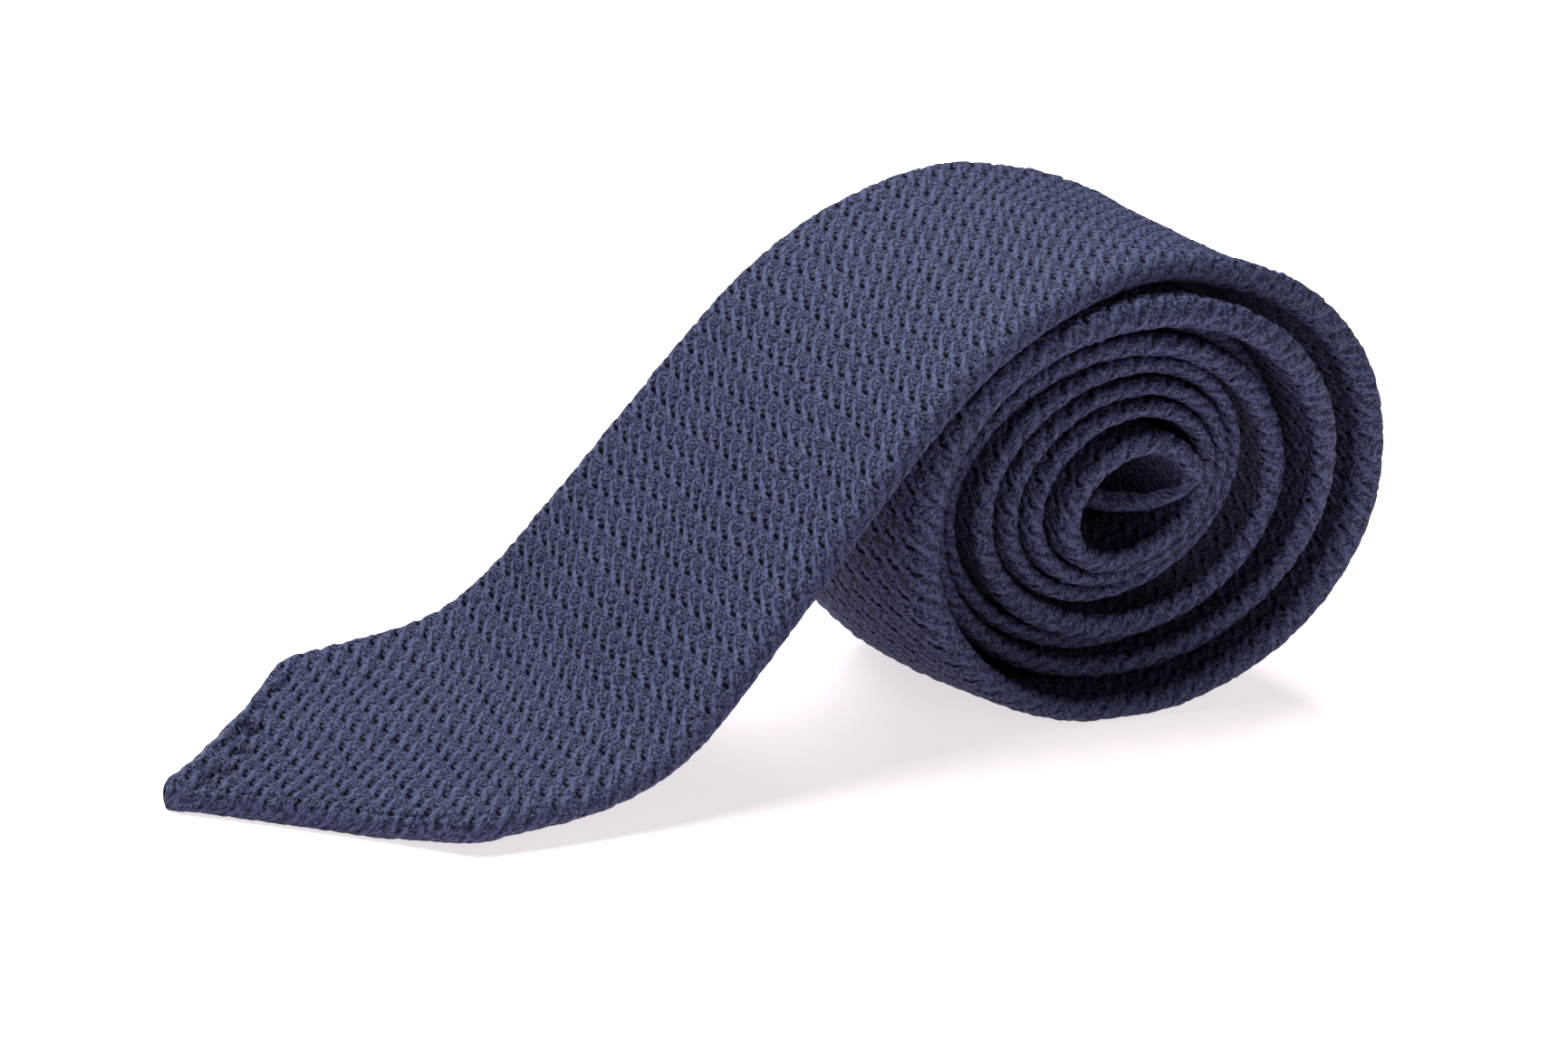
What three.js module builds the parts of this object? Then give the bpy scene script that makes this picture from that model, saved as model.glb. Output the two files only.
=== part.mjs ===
// A grenadine necktie, rolled up from its narrow end. The roll lies on its side on a table, and the wide
// blade comes off the top of it, slopes down and ends flat on the table.
// Millimetres. X runs from the tip of the blade to the roll, Y across the tie, Z up from the table.
import * as THREE from 'three';

// Finished width of the folded tie. Both ends are square points: there it is twice the distance to the tip.
const BLADE_WIDTH = 75;
const NECK_WIDTH = 33;
const TAIL_WIDTH = 47;
const NECK_START = 640; // from the tip of the blade
const NECK_END = 940;
const CORNER_ROUNDING = 6; // how early the fold at each corner of a point starts to turn

// Thickness of the folded cloth by turn of the roll. The blade lies looser than the tightly rolled tail.
const THICKNESS = [
  { turn: 0, thick: 4.4 },
  { turn: 0.25, thick: 4.9 },
  { turn: 0.5, thick: 3.8 },
  { turn: 0.75, thick: 4.6 },
  { turn: 0.95, thick: 3.5 },
  { turn: 2, thick: 3.2 },
  { turn: 3, thick: 3 },
  { turn: 4, thick: 2.9 },
];
const NOSE_LENGTH = 1.2; // the tip is blunt: its outermost fold starts here
const NOSE_HALF = 0.8; // half thickness of the fold at the very tip
const NOSE_SLOPE = 0.35; // what each millimetre of width adds to it

// Middle of the cloth from the tip to the top of the roll: on the table, a bend, a straight slope, a bend.
const LEAD = [
  { x: 0, z: 0 },
  { x: 20, z: 1.4 },
  { x: 34, z: 3.4 },
  { x: 46, z: 4.6 },
  { x: 57, z: 6 },
  { x: 66, z: 8.8 },
  { x: 73, z: 13.2 },
  { x: 80, z: 20 },
  { x: 96, z: 37.7 },
  { x: 111, z: 54.4 },
  { x: 126, z: 67.6 },
  { x: 143, z: 75.8 },
];

// The roll winds inward, clockwise seen from the near side, from turn 0 at its top. A row gives the mean
// radius, how far the turn is pressed oval, and how far its middle is off to the right and up.
const AXIS = { x: 161, z: 39 };
const OVAL_LEAN = THREE.MathUtils.degToRad(10); // the long way of the oval, clockwise from upright
const ROLL = [
  { turn: 0, radius: 42.5, oval: -7.1, right: 1.3, up: 3.9 },
  { turn: 0.25, radius: 41.2, oval: -4.5, right: 1.1, up: 2.8 },
  { turn: 0.5, radius: 39, oval: -0.6, right: 1, up: 1.1 },
  { turn: 0.75, radius: 36.6, oval: -0.1, right: -3.1, up: -1.9 },
  { turn: 1, radius: 41.3, oval: -0.1, right: -2.3, up: -6.3 },
  { turn: 1.25, radius: 35.8, oval: -1.2, right: -1.7, up: -3.7 },
  { turn: 1.5, radius: 33.5, oval: -1.2, right: 0.1, up: -0.6 },
  { turn: 2, radius: 31.2, oval: -0.2, right: -0.3, up: -0.7 },
  { turn: 2.5, radius: 29.4, oval: -1.1, right: 1, up: -0.8 },
  { turn: 3, radius: 27.4, oval: -0.4, right: -0.2, up: -0.4 },
  { turn: 3.5, radius: 25.9, oval: -1.5, right: 0.5, up: -1 },
  { turn: 4, radius: 22.5, oval: -0.6, right: -0.3, up: 1.2 },
  { turn: 4.5, radius: 19.7, oval: -0.2, right: -2.1, up: 0.7 },
  { turn: 5, radius: 17.9, oval: -0.2, right: -1.1, up: 1.9 },
  { turn: 6, radius: 15.1, oval: 0.3, right: -1.2, up: 0.8 },
  { turn: 6.5, radius: 12.4, oval: 0.7, right: -0.9, up: 1.2 },
  { turn: 7, radius: 10, oval: 1.3, right: -2.6, up: -0.4 },
  { turn: 7.25, radius: 9.4, oval: 0, right: 0, up: 2.6 },
  { turn: 7.4, radius: 7.3, oval: 0, right: 0, up: 2.6 },
  { turn: 7.5, radius: 6.8, oval: 0, right: 0, up: 2.6 },
  { turn: 7.7, radius: 8.6, oval: 0, right: 0, up: 0 },
];
const ROLL_END = 7.7;
const STEPS_PER_TURN = 32;
const LEAD_STEP = 5;
const CORNER_STEP = 2.5;
const CORNER_REACH = 8; // how far from a corner the closer stations start
const JOIN_POINTS = 4; // points of the roll that the curve of the lead also runs through

// The turns don't lie edge to edge: how far the middle of the cloth stands off to the far side, by turn.
const SIDEWAYS = [
  { turn: 0, shift: 5.5 },
  { turn: 0.25, shift: 3.2 },
  { turn: 0.5, shift: 1 },
  { turn: 0.75, shift: -1.2 },
  { turn: 1, shift: -3 },
  { turn: 1.25, shift: -3.5 },
  { turn: 1.5, shift: -2.4 },
  { turn: 1.75, shift: -0.5 },
  { turn: 2, shift: 0.5 },
  { turn: 2.25, shift: 2.5 },
  { turn: 2.5, shift: -1 },
  { turn: 2.75, shift: 1.5 },
  { turn: 3, shift: -2.5 },
  { turn: 3.25, shift: -5 },
  { turn: 3.5, shift: -4.5 },
  { turn: 3.75, shift: -2.5 },
  { turn: 4, shift: -1.5 },
  { turn: 6, shift: -0.8 },
  { turn: 7, shift: -2 },
  { turn: 8, shift: -3.5 },
];
// From its second turn on, the coil also leans: its top and its right side stand toward the near side.
const COIL_LEAN = { from: 0.25, full: 1, up: -0.204, right: -0.115 };

// The shell is cut in three pieces, joined by seams across the tie at these turns.
const FIRST_SEAM = 2;
const SECOND_SEAM = 4;
const SEAM_GAP = 0.3;

// Half of one section of the tie, from the middle of its face round the fold to its back. "side" is 0 at
// the middle, 1 at the shoulder, where the flat face ends, and 2 at the outermost point of the fold.
// "height" is in half thicknesses, + on the face.
const SECTION = [
  { side: 0, height: 0.86 },
  { side: 1, height: 1 },
  { side: 1.7, height: 0.71 },
  { side: 2, height: 0 },
  { side: 1.7, height: -0.71 },
  { side: 1, height: -1 },
];
const SEAM_LIP = { out: 2.5, height: -0.96 }; // the two edges that meet along the middle of the back
const SEAM_GROOVE = -0.78;
const GROOVE_START = 55; // before it the back is pressed flat on the table
const GROOVE_FULL = 75;
// The loose outer turn bows out across its width where nothing presses on it.
const BOW = [
  { turn: 0.55, out: 0 },
  { turn: 0.64, out: 2.6 },
  { turn: 0.73, out: 3 },
  { turn: 0.82, out: 0.8 },
  { turn: 0.87, out: 0 },
];
const SHOULDER_SHARE = 0.6; // of half the width: on a narrow point the fold can't be rounder

const CLOTH = { color: 0x23283f, roughness: 0.92, metalness: 0 };

const clamp01 = (value) => THREE.MathUtils.clamp(value, 0, 1);

// Straight lines between the rows of a table
function along(rows, at, column, place) {
  const last = rows.length - 1;
  if (place <= rows[0][at]) return rows[0][column];
  if (place >= rows[last][at]) return rows[last][column];
  const next = rows.findIndex((row) => row[at] > place);
  const [a, b] = [rows[next - 1], rows[next]];
  return THREE.MathUtils.mapLinear(place, a[at], b[at], a[column], b[column]);
}

// Natural cubic spline through the values at the given places
function spline(places, values) {
  const count = places.length;
  const bend = new Array(count).fill(0);
  const carry = new Array(count).fill(0);
  for (let i = 1; i < count - 1; i++) {
    const before = places[i] - places[i - 1];
    const after = places[i + 1] - places[i];
    const change = (values[i + 1] - values[i]) / after - (values[i] - values[i - 1]) / before;
    const pivot = 2 * (before + after) - before * carry[i - 1];
    carry[i] = after / pivot;
    bend[i] = (6 * change - before * bend[i - 1]) / pivot;
  }
  for (let i = count - 2; i > 0; i--) bend[i] -= carry[i] * bend[i + 1];
  return (place) => {
    let i = 1;
    while (i < count - 1 && place > places[i]) i++;
    const gap = places[i] - places[i - 1];
    const b = (place - places[i - 1]) / gap;
    const a = 1 - b;
    const curve = ((a ** 3 - a) * bend[i - 1] + (b ** 3 - b) * bend[i]) * gap * gap / 6;
    return a * values[i - 1] + b * values[i] + curve;
  };
}

const rollLaw = {};
for (const column of ['radius', 'oval', 'right', 'up']) {
  rollLaw[column] = spline(ROLL.map((row) => row.turn), ROLL.map((row) => row[column]));
}

// Middle of the cloth at a turn of the roll
function rollPoint(turn) {
  const angle = turn * 2 * Math.PI;
  const pressed = rollLaw.oval(turn) * Math.cos(2 * (angle - OVAL_LEAN));
  const moved = rollLaw.right(turn) * Math.sin(angle) + rollLaw.up(turn) * Math.cos(angle);
  const radius = rollLaw.radius(turn) + pressed + moved;
  return { x: AXIS.x + radius * Math.sin(angle), z: AXIS.z + radius * Math.cos(angle), turn };
}

// Middle of the cloth from the tip to the top of the roll, at even steps, closer at the corners
function leadPoints() {
  const rows = [...LEAD];
  for (let step = 0; step < JOIN_POINTS; step++) rows.push(rollPoint(step / STEPS_PER_TURN));
  const chord = [0];
  for (let i = 1; i < rows.length; i++) {
    chord.push(chord[i - 1] + Math.hypot(rows[i].x - rows[i - 1].x, rows[i].z - rows[i - 1].z));
  }
  const x = spline(chord, rows.map((row) => row.x));
  const z = spline(chord, rows.map((row) => row.z));
  const points = [];
  const end = chord[LEAD.length] - LEAD_STEP / 2;
  const corner = BLADE_WIDTH / 2;
  let place = NOSE_LENGTH;
  while (place < end) {
    points.push({ x: x(place), z: z(place), turn: 0, share: place / chord[LEAD.length] });
    const nearCorner = Math.abs(place - corner) < CORNER_REACH;
    place += nearCorner ? CORNER_STEP : LEAD_STEP;
  }
  return points;
}

// Half the thickness where the tie is that wide
function halfThickness(turn, width) {
  const full = along(THICKNESS, 'turn', 'thick', turn) / 2;
  return Math.min(full, NOSE_HALF + NOSE_SLOPE * width);
}

// Smaller of two widths, with the corner between them rounded off
function roundedLeast(a, b) {
  const mix = clamp01(0.5 + (b - a) / (2 * CORNER_ROUNDING));
  return b + (a - b) * mix - CORNER_ROUNDING * mix * (1 - mix);
}

// Stations along the whole tie, each with its place, direction, width and half thickness
function stations() {
  const points = leadPoints();
  const steps = Math.floor(ROLL_END * STEPS_PER_TURN);
  for (let step = 0; step <= steps; step++) points.push({ ...rollPoint(step / STEPS_PER_TURN), share: 1 });
  points[0].length = NOSE_LENGTH;
  for (let i = 1; i < points.length; i++) {
    const step = Math.hypot(points[i].x - points[i - 1].x, points[i].z - points[i - 1].z);
    points[i].length = points[i - 1].length + step;
  }
  const total = points[points.length - 1].length + NOSE_LENGTH;
  const widths = [
    { at: 0, width: BLADE_WIDTH },
    { at: NECK_START, width: NECK_WIDTH },
    { at: NECK_END, width: NECK_WIDTH },
    { at: total, width: TAIL_WIDTH },
  ];
  for (const point of points) {
    const even = along(widths, 'at', 'width', point.length);
    const pointed = 2 * Math.min(point.length, total - point.length);
    point.width = Math.max(roundedLeast(pointed, even), Math.min(pointed, 2 * NOSE_LENGTH));
    point.half = halfThickness(point.turn, point.width);
    point.z = Math.max(point.z, point.half); // the table holds the cloth up
    const lean = clamp01((point.turn - COIL_LEAN.from) / (COIL_LEAN.full - COIL_LEAN.from));
    const leaning = COIL_LEAN.up * (point.z - AXIS.z) + COIL_LEAN.right * (point.x - AXIS.x);
    point.y = along(SIDEWAYS, 'turn', 'shift', point.turn) * point.share + lean * leaning;
  }
  points.forEach((point, i) => {
    const before = points[Math.max(i - 1, 0)];
    const after = points[Math.min(i + 1, points.length - 1)];
    const direction = new THREE.Vector2(after.x - before.x, after.z - before.z).normalize();
    point.along = { x: direction.x, z: direction.y };
  });
  return points;
}

// Points round one section: out along the face, round the fold and back along the seam side, then the
// same on the other half
function sectionPoints(station, shift = 0) {
  const { width, half } = station;
  const edge = width / 2;
  const fold = Math.min(half, SHOULDER_SHARE * edge);
  const shoulder = edge - fold;
  const open = clamp01((station.length - GROOVE_START) / (GROOVE_FULL - GROOVE_START));
  const lipOut = Math.min(SEAM_LIP.out, shoulder / 2);
  const rightHalf = SECTION.slice(1).map(({ side, height }) => ({ v: shoulder + (side - 1) * fold, height }));
  rightHalf.push({ v: lipOut, height: -1 + open * (1 + SEAM_LIP.height) });
  const leftHalf = rightHalf.map(({ v, height }) => ({ v: -v, height })).reverse();
  const outline = [
    { v: 0, height: SECTION[0].height },
    ...rightHalf,
    { v: 0, height: -1 + open * (1 + SEAM_GROOVE) },
    ...leftHalf,
  ];
  const { x, z } = station.along;
  const bow = along(BOW, 'turn', 'out', station.turn);
  return outline.map(({ v, height }) => {
    const out = height * half + bow * (1 - (v / edge) ** 2);
    return new THREE.Vector3(station.x + x * shift - z * out, station.y + v, station.z + z * shift + x * out);
  });
}

// Closed solid through the sections, with a flat cap at each end
function loft(sections) {
  const around = sections[0].length;
  const positions = [];
  const faces = [];
  const add = (point) => positions.push(point.x, point.y, point.z);
  for (const section of sections) section.forEach(add);
  for (let row = 0; row < sections.length - 1; row++) {
    for (let i = 0; i < around; i++) {
      const a = row * around + i;
      const b = row * around + ((i + 1) % around);
      faces.push(a, a + around, b, b, a + around, b + around);
    }
  }
  for (const row of [0, sections.length - 1]) {
    const middle = new THREE.Vector3();
    sections[row].forEach((point) => middle.addScaledVector(point, 1 / around));
    const centre = positions.length / 3;
    add(middle);
    for (let i = 0; i < around; i++) {
      const a = row * around + i;
      const b = row * around + ((i + 1) % around);
      if (row === 0) faces.push(centre, a, b);
      else faces.push(centre, b, a);
    }
  }
  const geometry = new THREE.BufferGeometry();
  geometry.setAttribute('position', new THREE.Float32BufferAttribute(positions, 3));
  geometry.setIndex(faces);
  geometry.computeVertexNormals();
  return geometry;
}

// One piece of the shell, from one turn to another. A seam at either end leaves half the gap there.
function shellPiece(name, all, from, to) {
  const own = all.filter((station) => station.turn >= from && station.turn <= to);
  const sections = own.map((station, i) => {
    const start = i === 0 && from > 0 ? SEAM_GAP / 2 : 0;
    const end = i === own.length - 1 && to < ROLL_END ? -SEAM_GAP / 2 : 0;
    return sectionPoints(station, start + end);
  });
  const mesh = new THREE.Mesh(loft(sections), new THREE.MeshStandardMaterial(CLOTH));
  mesh.name = name;
  return mesh;
}

const all = stations();
const tie = new THREE.Group();
tie.add(shellPiece('front_blade', all, 0, FIRST_SEAM));
tie.add(shellPiece('neck', all, FIRST_SEAM, SECOND_SEAM));
tie.add(shellPiece('tail', all, SECOND_SEAM, ROLL_END));

// The origin is on the table, under the middle of the tie.
const box = new THREE.Box3().setFromObject(tie);
tie.position.set(-(box.min.x + box.max.x) / 2, -(box.min.y + box.max.y) / 2, -box.min.z);
tie.updateMatrixWorld(true);

export default tie;
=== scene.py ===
import math

import bpy
import numpy as np
from mathutils import Matrix, Vector


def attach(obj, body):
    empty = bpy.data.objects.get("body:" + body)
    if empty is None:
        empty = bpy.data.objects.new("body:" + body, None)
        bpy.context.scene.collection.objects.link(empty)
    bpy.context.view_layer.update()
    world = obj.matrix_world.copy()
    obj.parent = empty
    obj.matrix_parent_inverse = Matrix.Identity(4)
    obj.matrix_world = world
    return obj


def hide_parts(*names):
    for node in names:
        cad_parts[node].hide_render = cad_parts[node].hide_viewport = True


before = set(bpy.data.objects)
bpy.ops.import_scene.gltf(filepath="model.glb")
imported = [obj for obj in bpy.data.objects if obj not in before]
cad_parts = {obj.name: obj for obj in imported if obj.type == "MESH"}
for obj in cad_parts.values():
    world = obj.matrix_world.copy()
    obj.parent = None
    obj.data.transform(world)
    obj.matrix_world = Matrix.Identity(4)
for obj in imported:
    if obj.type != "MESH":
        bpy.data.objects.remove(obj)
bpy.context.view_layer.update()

MM = 0.001

# The tie's own numbers, the same as its solids have
TIP_PLACE = (-105.497, -1.138)  # x of the blade's tip and y of its middle line, in the frame
BLADE_WIDTH = 75.0
NECK_WIDTH = 33.0
TAIL_WIDTH = 47.0
NECK_START = 640.0
NECK_END = 940.0
CORNER_ROUNDING = 6.0
TIP_START = 0.05  # place of the first ring of the cloth
TIP_RADIUS = 2.0  # the rounded corner of cloth at the very tip
TIP_FADE = 5.0  # how far along the cloth that rounding is felt
SHOULDER_SHARE = 0.6  # the most of half the width that a folded edge takes up
SEAM_GAP = 0.3  # between the three lengths of the shell, where they are joined

THICKNESS = [
    dict(turn=0, thick=4.4),
    dict(turn=0.25, thick=4.9),
    dict(turn=0.5, thick=3.8),
    dict(turn=0.75, thick=4.6),
    dict(turn=0.95, thick=3.5),
    dict(turn=2, thick=3.2),
    dict(turn=3, thick=3),
    dict(turn=4, thick=2.9),
]

# Middle of the cloth from the tip to the top of the roll
LEAD = [
    dict(x=0, z=0),
    dict(x=20, z=1.4),
    dict(x=34, z=3.4),
    dict(x=46, z=4.6),
    dict(x=57, z=6),
    dict(x=66, z=8.8),
    dict(x=73, z=13.2),
    dict(x=80, z=20),
    dict(x=96, z=37.7),
    dict(x=111, z=54.4),
    dict(x=126, z=67.6),
    dict(x=143, z=75.8),
]

# The roll winds inward, clockwise seen from the near side, from turn 0 at its top
AXIS_X = 161.0
AXIS_Z = 39.0
OVAL_LEAN = math.radians(10)
ROLL = [
    dict(turn=0, radius=42.5, oval=-7.1, right=1.3, up=3.9),
    dict(turn=0.25, radius=41.2, oval=-4.5, right=1.1, up=2.8),
    dict(turn=0.5, radius=39, oval=-0.6, right=1, up=1.1),
    dict(turn=0.75, radius=36.6, oval=-0.1, right=-3.1, up=-1.9),
    dict(turn=1, radius=41.3, oval=-0.1, right=-2.3, up=-6.3),
    dict(turn=1.25, radius=35.8, oval=-1.2, right=-1.7, up=-3.7),
    dict(turn=1.5, radius=33.5, oval=-1.2, right=0.1, up=-0.6),
    dict(turn=2, radius=31.2, oval=-0.2, right=-0.3, up=-0.7),
    dict(turn=2.5, radius=29.4, oval=-1.1, right=1, up=-0.8),
    dict(turn=3, radius=27.4, oval=-0.4, right=-0.2, up=-0.4),
    dict(turn=3.5, radius=25.9, oval=-1.5, right=0.5, up=-1),
    dict(turn=4, radius=22.5, oval=-0.6, right=-0.3, up=1.2),
    dict(turn=4.5, radius=19.7, oval=-0.2, right=-2.1, up=0.7),
    dict(turn=5, radius=17.9, oval=-0.2, right=-1.1, up=1.9),
    dict(turn=6, radius=15.1, oval=0.3, right=-1.2, up=0.8),
    dict(turn=6.5, radius=12.4, oval=0.7, right=-0.9, up=1.2),
    dict(turn=7, radius=10, oval=1.3, right=-2.6, up=-0.4),
    dict(turn=7.25, radius=9.4, oval=0, right=0, up=2.6),
    dict(turn=7.4, radius=7.3, oval=0, right=0, up=2.6),
    dict(turn=7.5, radius=6.8, oval=0, right=0, up=2.6),
    dict(turn=7.7, radius=8.6, oval=0, right=0, up=0),
]
ROLL_END = 7.6875

# How far the middle of the cloth stands off to the far side
SIDEWAYS = [
    dict(turn=0, shift=5.5),
    dict(turn=0.25, shift=3.2),
    dict(turn=0.5, shift=1),
    dict(turn=0.75, shift=-1.2),
    dict(turn=1, shift=-3),
    dict(turn=1.25, shift=-3.5),
    dict(turn=1.5, shift=-2.4),
    dict(turn=1.75, shift=-0.5),
    dict(turn=2, shift=0.5),
    dict(turn=2.25, shift=2.5),
    dict(turn=2.5, shift=-1),
    dict(turn=2.75, shift=1.5),
    dict(turn=3, shift=-2.5),
    dict(turn=3.25, shift=-5),
    dict(turn=3.5, shift=-4.5),
    dict(turn=3.75, shift=-2.5),
    dict(turn=4, shift=-1.5),
    dict(turn=6, shift=-0.8),
    dict(turn=7, shift=-2),
    dict(turn=8, shift=-3.5),
]

# The turns that stand proud have a full, rounded near fold. "more" is added to half the thickness there,
# and "inward" moves the fold toward the middle of the roll.
ROPE = [
    dict(turn=0, more=0, inward=0),
    dict(turn=0.1, more=0.3, inward=0.3),
    dict(turn=0.6, more=0.2, inward=0.2),
    dict(turn=0.85, more=0.3, inward=0.2),
    dict(turn=0.97, more=0.9, inward=0.8),
    dict(turn=1.12, more=1.3, inward=0.9),
    dict(turn=1.3, more=0.9, inward=0.6),
    dict(turn=1.5, more=0.2, inward=0.1),
    dict(turn=2.8, more=0, inward=0),
    dict(turn=3, more=0.6, inward=0.1),
    dict(turn=3.2, more=1.2, inward=0.2),
    dict(turn=3.55, more=1.1, inward=0.4),
    dict(turn=3.8, more=0.4, inward=0.2),
    dict(turn=4.1, more=0.15, inward=0),
    dict(turn=6, more=0.2, inward=0.1),
    dict(turn=6.5, more=0.7, inward=0.5),
    dict(turn=7, more=0.8, inward=0.2),
    dict(turn=7.7, more=0.6, inward=0),
]
ROPE_WIDTH = 4.0  # how far in from the near edge that is felt

# The back of the loose outer turn sags toward the turn inside it
SAG = [
    dict(turn=0, inward=0.6),
    dict(turn=0.04, inward=2.2),
    dict(turn=0.08, inward=3.6),
    dict(turn=0.13, inward=4.6),
    dict(turn=0.2, inward=4.2),
    dict(turn=0.3, inward=2),
    dict(turn=0.38, inward=0),
]

# The roll leans as well: its cloth shifts sideways with height and with distance to the right of the axis
COIL_LEAN_FROM = 0.25  # turn at which the lean begins
COIL_LEAN_FULL = 1.0
COIL_LEAN_UP = -0.204
COIL_LEAN_RIGHT = -0.115

# The loose outer turn bows out across its width
BOW = [
    dict(turn=0.5, out=0),
    dict(turn=0.56, out=2),
    dict(turn=0.62, out=5),
    dict(turn=0.68, out=5.6),
    dict(turn=0.74, out=4.2),
    dict(turn=0.82, out=1.2),
    dict(turn=0.88, out=0),
]

# The repeat of the weave: steps from one hole to the next, across the tie and down toward the roll
STEP_ACROSS = (3.767, 0.443)
STEP_DOWN = (0.825, 4.529)

# One repeat of the weave, about the middle of a hole. "across" and "down" place a feature, "long" and
# "wide" are where it ends, half its size, and "turn" is its lean in degrees, clockwise. The next number is
# the painted shade put into the hollow, where it lies in shade, and "dip" how far the cloth sinks there.
HOLLOWS = [
    dict(name="slit", across=0.25, down=-0.1, long=1.0, wide=0.44, turn=6, painted_dark=1.0, dip=0.42),
    dict(name="slit head", across=-0.3, down=-0.25, long=0.4, wide=0.3, turn=-60, painted_dark=0.9, dip=0.2),
    dict(name="groove", across=1.15, down=0.32, long=0.6, wide=0.24, turn=45, painted_dark=0.6, dip=0.24),
    dict(name="pit", across=1.5, down=0.78, long=0.46, wide=0.42, turn=0, painted_dark=0.9, dip=0.32),
    dict(name="notch", across=1.15, down=1.2, long=0.45, wide=0.2, turn=120, painted_dark=0.5, dip=0.1),
    dict(name="arc start", across=2.35, down=1.28, long=0.7, wide=0.24, turn=-5, painted_dark=0.55, dip=0.24),
    dict(name="arc bend", across=-1.4, down=-3.35, long=0.6, wide=0.24, turn=42, painted_dark=0.6, dip=0.24),
    dict(name="arc end", across=-0.7, down=-2.6, long=0.8, wide=0.32, turn=52, painted_dark=0.75, dip=0.34),
    dict(name="knot eye", across=-2.55, down=-2.9, long=0.3, wide=0.25, turn=0, painted_dark=0.9, dip=0.16),
    dict(name="left eye", across=-3.25, down=-2.0, long=0.34, wide=0.22, turn=90, painted_dark=0.75, dip=0.18),
    dict(name="low eye", across=-2.75, down=-1.45, long=0.25, wide=0.22, turn=0, painted_dark=0.7, dip=0.1),
    dict(name="knot slit", across=-0.92, down=-1.74, long=0.46, wide=0.26, turn=0, painted_dark=0.9, dip=0.22),
    dict(name="knot dash", across=-1.9, down=-1.7, long=0.34, wide=0.17, turn=10, painted_dark=0.7, dip=0.08),
    dict(name="knot line", across=-1.7, down=-2.45, long=0.6, wide=0.15, turn=4, painted_dark=0.65, dip=0.08),
    dict(name="under knot", across=-1.95, down=-0.97, long=0.5, wide=0.16, turn=30, painted_dark=0.55, dip=0.12),
    dict(name="under end", across=-0.95, down=-0.95, long=0.5, wide=0.2, turn=-15, painted_dark=0.6, dip=0.14),
    dict(name="side shade", across=-0.02, down=-0.95, long=0.8, wide=0.3, turn=75, painted_dark=0.4, dip=0.26),
]

# The raised yarns of one repeat: the knot, and the float that runs down past it. "rise" is their height.
RIDGES = [
    dict(name="knot", across=-1.75, down=-2.1, long=1.9, wide=1.55, turn=85, rise=0.33),
    dict(name="float top", across=-2.6, down=-0.85, long=1.2, wide=0.6, turn=30, rise=0.14),
    dict(name="float middle", across=-1.0, down=0.1, long=1.3, wide=0.65, turn=33, rise=0.17),
    dict(name="float end", across=0.6, down=1.4, long=1.3, wide=0.65, turn=46, rise=0.17),
]
ROW_RISE = 0.17  # height of the slanting rows that the floats stand in, on the flat part
ROW_RISE_ROLLED = 0.06  # the same on the roll
ROWS_CALM_FROM = 70.0  # the rows lose their height between this place and the next
ROWS_CALM_AT = 190.0
RIDGE_TOP = 0.15  # level share of a ridge, from its middle
HOLLOW_FLOOR = 0.2  # level share of a hollow, from its middle
LEAST_WIDE = 0.42  # a finer dip than this is left to the material
WEAVE_SUNK = 0.2  # the weave's ground lies this far under the plain surface
WEAVE_UNEVEN = 0.18
EDGE_FADE = 0.5  # how much of the relief is lost where the cloth turns round a folded edge


def table(rows, column):
    return np.array([row[column] for row in rows], float)


def read_table(rows, at, column, places):
    return np.interp(places, table(rows, at), table(rows, column))


def spline(places, values, at):
    """Natural cubic spline through the values at the given places"""
    count = len(places)
    gaps = np.diff(places)
    slopes = np.diff(values) / gaps
    system = np.eye(count)
    change = np.zeros(count)
    for i in range(1, count - 1):
        system[i, i - 1] = gaps[i - 1] / 6
        system[i, i] = (gaps[i - 1] + gaps[i]) / 3
        system[i, i + 1] = gaps[i] / 6
        change[i] = slopes[i] - slopes[i - 1]
    bend = np.linalg.solve(system, change)
    k = np.clip(np.searchsorted(places, at) - 1, 0, count - 2)
    b = (at - places[k]) / gaps[k]
    a = 1 - b
    curve = ((a**3 - a) * bend[k] + (b**3 - b) * bend[k + 1]) * gaps[k] ** 2 / 6
    return a * values[k] + b * values[k + 1] + curve


def smooth_step(low, high, value):
    share = np.clip((value - low) / (high - low), 0, 1)
    return share * share * (3 - 2 * share)


def bell(value, middle, wide):
    """A smooth bump, 1 at its middle"""
    return np.exp(-(((value - middle) / wide) ** 2))


def soften(values, reach):
    """Running average over reach samples each way, which keeps the ends"""
    kernel = np.hanning(2 * reach + 3)[1:-1]
    kernel = kernel / kernel.sum()
    first = 2 * values[0] - values[reach:0:-1]
    last = 2 * values[-1] - values[-2 : -reach - 2 : -1]
    return np.convolve(np.concatenate([first, values, last]), kernel, "valid")


def roll_points(turns):
    law = {}
    for column in ("radius", "oval", "right", "up"):
        law[column] = spline(table(ROLL, "turn"), table(ROLL, column), turns)
    angle = turns * 2 * np.pi
    pressed = law["oval"] * np.cos(2 * (angle - OVAL_LEAN))
    moved = law["right"] * np.sin(angle) + law["up"] * np.cos(angle)
    radius = law["radius"] + pressed + moved
    return AXIS_X + radius * np.sin(angle), AXIS_Z + radius * np.cos(angle)


PATH_STEP = 0.25
LEAD_JOINS = 4  # points of the roll that the lead's curve also runs through
PARTS_OF_TURN = 32
TURN_SAMPLES = 1440
# How many samples of the path the running averages take in each way
SOFT_THICKNESS = 60
SOFT_SHIFT = 40
SOFT_ROPE = 30
SOFT_BOW = 40
SOFT_DIRECTION = 8


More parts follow.
